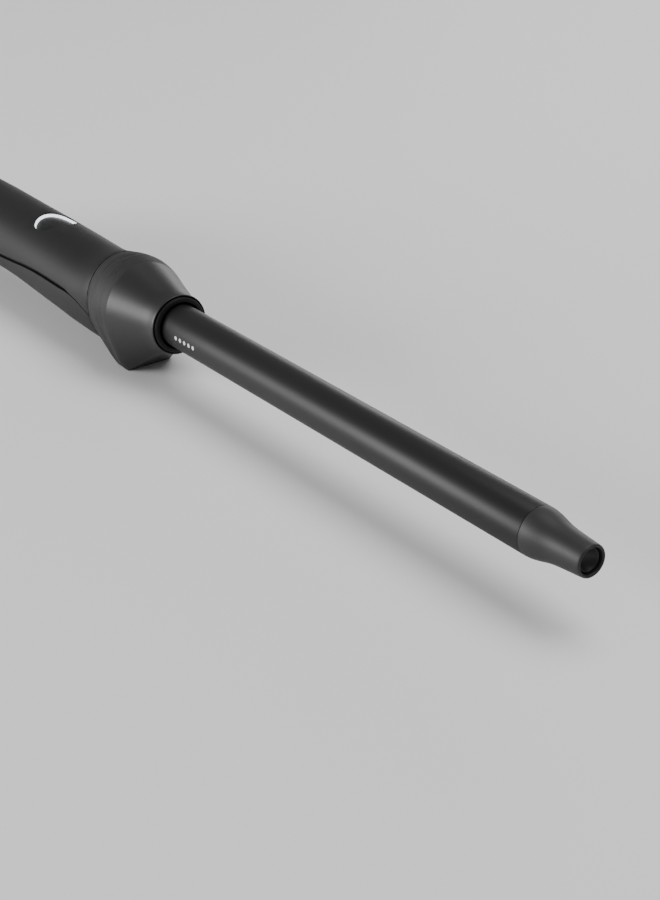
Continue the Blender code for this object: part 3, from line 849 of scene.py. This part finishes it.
@dataclass
class CoolTip:
    """Moulded tip that stays cool, with a dished plug in its end."""

    outside: Outline = ((212.5, 4.2), (212.38, 4.45), (212.0, 4.62), (208.8, 4.84), (205.5, 5.08),
                        (202.5, 5.36), (200.5, 5.68), (199.0, 6.05), (197.2, 6.5), (195.5, 6.84),
                        (194.2, 6.98), (193.03, 7.03))
    spigot: Outline = ((193.03, 5.85), (180.0, 5.85), (180.0, 2.6), (206.2, 2.6))
    hole: Outline = ((206.2, 3.63), (212.1, 3.63), (212.5, 3.95))
    plug: Outline = ((209.3, 0.0), (209.45, 0.9), (209.85, 1.7), (210.5, 2.4), (211.25, 2.9),
                     (211.5, 3.08), (211.45, 3.24), (211.2, 3.3), (206.5, 3.3), (206.5, 0.0))

    def build(self) -> None:
        """Turn the tip and its plug."""
        tip = Bench.turn("cool_tip_moulding", (*self.outside, *self.spigot, *self.hole), soften=0.14)
        dress(tip, TIP, Body.WAND, "cool_tip")
        plug = Bench.turn("cool_tip_dished_plug", self.plug, soften=0.08)
        dress(plug, TIP, Body.WAND, "cool_tip_plug")


@dataclass
class Collar:
    """Flared collar with its foot, and the heat shield in its mouth."""

    crease: float = 1.3
    crease_lean: float = 0.9
    crease_room: float = 0.1
    crease_hold: float = 0.85
    corner_hold: float = 0.8
    corner_angle: float = 28.0
    smooth_angle: float = 60.0
    rib_start: float = -11.4
    rib_pitch: float = 1.2
    rib_count: int = 9
    rib_depth: float = 0.07
    reach: float = 15.0
    shield: Outline = ((23.8, 7.75), (23.75, 8.3), (23.55, 8.8), (23.2, 9.15), (22.8, 9.3), (14.6, 9.3),
                       (14.6, 7.7), (23.5, 7.7))

    def cut_ribs(self, collar: bpy.types.Object) -> None:
        """Cut rings round the band and draw every second one in, which leaves shallow ribs.

        Args:
            collar: The rounded collar.
        """
        half = self.rib_pitch / 2
        places = [self.rib_start + half * index for index in range(2 * self.rib_count + 1)]
        Bench.edit(collar, "VERT")
        for x in places:
            bpy.ops.mesh.select_all(action="SELECT")
            bpy.ops.mesh.bisect(plane_co=(x * MM, 0, 0), plane_no=(1, 0, 0), threshold=SAME_PLACE * MM / 100)
        share = 1 - self.rib_depth / self.reach
        for x in places[1::2]:
            Bench.pick_outside(collar, x)
            bpy.ops.transform.resize(value=(1, share, share), center_override=axis_point(x))
        bpy.ops.object.mode_set(mode="OBJECT")

    def build(self) -> None:
        """Round the collar from the frame's, and turn the heat shield."""
        collar = Bench.copy_node("collar", "flared_collar")
        Bench.edit(collar)
        Bench.pick_edges(collar, self.crease - self.crease_lean, self.crease + self.crease_room)
        bpy.ops.transform.edge_crease(value=self.crease_hold)
        Bench.pick_sharp(self.corner_angle)
        bpy.ops.transform.edge_crease(value=self.corner_hold)
        bpy.ops.object.mode_set(mode="OBJECT")
        Bench.modify(collar, "SUBSURF", levels=2, render_levels=2)
        self.cut_ribs(collar)
        Bench.smooth(collar, self.smooth_angle)
        dress(collar, COLLAR, Body.WAND, "collar")
        shield = Bench.turn("heat_shield", self.shield, soften=0.1)
        dress(shield, DARK, Body.WAND, "heat_shield_ring")
        dress_nodes(("barrel_carrier",), DARK)
        dress_nodes(("barrel_screw", "collar_screw_left", "collar_screw_right"), STEEL)


@dataclass
class Handle:
    """Two casings with the strips and screws that hold them."""

    softness: float = 0.3
    edge_angle: float = 40.0
    casings: tuple[tuple[str, str], ...] = (("handle_top_shell", "upper_casing"),
                                            ("handle_lower_shell", "lower_casing"))
    strips: tuple[str, ...] = ("trim_strip_left", "trim_strip_right")
    screws: tuple[str, ...] = ("shell_screw_front", "shell_screw_rear")

    def build(self) -> None:
        """Soften the casings' edges."""
        for node, name in self.casings:
            casing = Bench.copy_node(node, name)
            Bench.round_edges(casing, self.softness, self.edge_angle)
            dress(casing, CASING, Body.WAND, node)
        dress_nodes(self.strips, DARK)
        dress_nodes(self.screws, STEEL)


@dataclass
class PowerButton:
    """Dished button in its lit well, and the switch under it."""

    softness: float = 0.35
    edge_angle: float = 50.0

    def build(self) -> None:
        """Soften the button and finish the pieces round it."""
        button = Bench.copy_node("power_button", "round_power_button")
        Bench.round_edges(button, self.softness, self.edge_angle)
        dress(button, BUTTON, Body.BUTTON, "power_button")
        dress_nodes(("button_light_ring", "ring_led_left", "ring_led_right"), GUIDE)
        dress_nodes(("switch_body",), CHIP)
        dress_nodes(("switch_plunger",), DARK)


@dataclass
class ControlBoard:
    """Board under the button with the parts it carries."""

    finishes: dict[str, Finish] = field(default_factory=lambda: {
        "control_board": BOARD, "board_screw_front": STEEL, "board_screw_rear": STEEL,
        "microcontroller": CHIP, "triac": CHIP, "capacitor": BLUE, "fuse": CERAMIC, "buzzer": CHIP,
        "terminal_block": BLUE, "mains_lead_left": BROWN, "mains_lead_right": NAVY})

    def dress(self) -> None:
        """Finish each part."""
        for node, finish in self.finishes.items():
            dress_nodes((node,), finish)


@dataclass
class CordEntry:
    """Rear cap and the turning gland that the cord enters by."""

    cap: Outline = ((-139.0, 10.6), (-144.3, 10.6), (-144.3, 12.8), (-146.5, 12.62), (-148.8, 12.0),
                    (-150.8, 10.8), (-151.9, 9.3), (-152.3, 8.0), (-152.3, 6.0), (-144.9, 6.0),
                    (-144.9, 9.0), (-139.0, 9.0))
    flange: Outline = ((-129.5, 4.5), (-142.9, 4.5), (-142.9, 7.6), (-144.5, 7.6), (-144.5, 5.6),
                       (-154.0, 5.6))
    mouth: Outline = ((-169.6, 4.5), (-170.0, 4.2), (-170.0, 3.1))
    bore: Outline = ((-146.0, 3.1), (-146.0, 1.6), (-129.5, 1.6))
    groove: Outline = ((0.0, 0.0), (-0.2, -0.7), (-1.4, -0.7), (-1.6, -0.05))
    groove_start: float = -155.0
    groove_radius: float = 5.5
    groove_pitch: float = 4.4
    taper: float = 0.3
    grooves: int = 3

    def gland_outline(self) -> Outline:
        """Flange and grooved tail of the gland.

        Returns:
            Place and radius of each ring.
        """
        tail = [(self.groove_start - index * self.groove_pitch + along,
                 self.groove_radius - index * self.taper + out)
                for index in range(self.grooves) for along, out in self.groove]
        return (*self.flange, *tail, *self.mouth, *self.bore)

    def build(self) -> None:
        """Turn the cap and the gland, and finish what is inside."""
        cap = Bench.turn("domed_rear_cap", self.cap, soften=0.2)
        dress(cap, CASING, Body.WAND, "rear_cap")
        gland = Bench.turn("grooved_gland", self.gland_outline(), soften=0.1)
        dress(gland, DARK, Body.CORD_ENTRY, "cord_gland")
        dress_nodes(("gland_retainer",), STEEL)
        dress_nodes(("contact_ring_front", "contact_ring_rear"), BRASS)
        dress_nodes(("brush_front", "brush_rear"), CARBON)
        dress_nodes(("brush_block",), DARK)


@dataclass(frozen=True)
class Softbox:
    """Soft light on a stand that faces the wand."""

    name: str
    direction: Triple
    distance: float
    size: tuple[float, float]
    power: float
    aim: Triple = (0.08, 0.0, 0.02)

    def hang(self) -> None:
        """Hang the light and turn it to its aim point."""
        Bench.clear()
        away = Vector(self.direction).normalized()
        bpy.ops.object.light_add(type="AREA", location=Vector(self.aim) + away * self.distance)
        lamp = bpy.context.object
        lamp.name = self.name
        lamp.data.shape = "RECTANGLE"
        lamp.data.size, lamp.data.size_y = self.size
        lamp.data.energy = self.power
        lamp.rotation_mode = "QUATERNION"
        lamp.rotation_quaternion = (-away).to_track_quat("-Z", "Y")


@dataclass
class Studio:
    """Pale floor, soft lights and the camera."""

    lens: float = 73.31
    film_width: float = 36.0
    eye: Triple = (0.4893, -0.27215, 0.2447)
    ahead: Triple = (-0.7306, 0.5158, -0.4473)
    right: Triple = (0.5852, 0.8106, -0.0212)
    floor_size: float = 60.0
    floor_colour: Colour = (0.86, 0.86, 0.86)
    floor_roughness: float = 0.6
    sky_colour: Colour = (0.82, 0.82, 0.8282)
    sky_strength: float = 0.38
    softboxes: tuple[Softbox, ...] = (
        Softbox("side_softbox", (-0.5, -0.85, 0.2), 2.2, (1.5, 1.0), 62.0),
        Softbox("overhead_softbox", (0.1, 0.3, 1.0), 1.6, (1.3, 1.1), 18.0),
        Softbox("rim_softbox", (-0.56, 0.8, 0.2), 2.4, (1.4, 0.7), 11.0))

    def lay_floor(self) -> None:
        """Lay a plain pale floor."""
        Bench.clear()
        bpy.ops.mesh.primitive_plane_add(size=self.floor_size)
        floor = bpy.context.object
        floor.name = "studio_floor"
        recipe = Recipe("pale_floor")
        recipe.feed("Base Color", self.floor_colour)
        recipe.feed("Roughness", self.floor_roughness)
        floor.data.materials.append(recipe.material)

    def light_sky(self) -> None:
        """Fill the room with even pale light."""
        sky = bpy.data.worlds.new("studio_sky")
        bpy.context.scene.world = sky
        sky.use_nodes = True
        background = sky.node_tree.nodes["Background"]
        background.inputs["Color"].default_value = (*self.sky_colour, 1.0)
        background.inputs["Strength"].default_value = self.sky_strength

    def place_camera(self) -> None:
        """Set the camera at its viewing angle."""
        Bench.clear()
        bpy.ops.object.camera_add()
        camera = bpy.context.object
        camera.name = "studio_camera"
        ahead, right = Vector(self.ahead).normalized(), Vector(self.right).normalized()
        above = right.cross(ahead).normalized()
        right = ahead.cross(above)
        stand = Matrix((right, above, -ahead)).transposed().to_4x4()
        stand.translation = Vector(self.eye)
        camera.matrix_world = stand
        camera.data.lens = self.lens
        camera.data.sensor_width = self.film_width
        camera.data.clip_start = 0.01
        bpy.context.scene.camera = camera

    def set_up(self) -> None:
        """Make the whole studio."""
        self.place_camera()
        self.lay_floor()
        self.light_sky()
        for softbox in self.softboxes:
            softbox.hang()


def main() -> None:
    """Build the wand and its studio."""
    logging.basicConfig(level=logging.INFO, format="%(message)s")
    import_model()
    Studio().set_up()
    Barrel().build()
    CoolTip().build()
    Collar().build()
    Handle().build()
    PowerButton().build()
    ControlBoard().dress()
    CordEntry().build()
    Bench.clear()


if __name__ == "__main__":
    main()
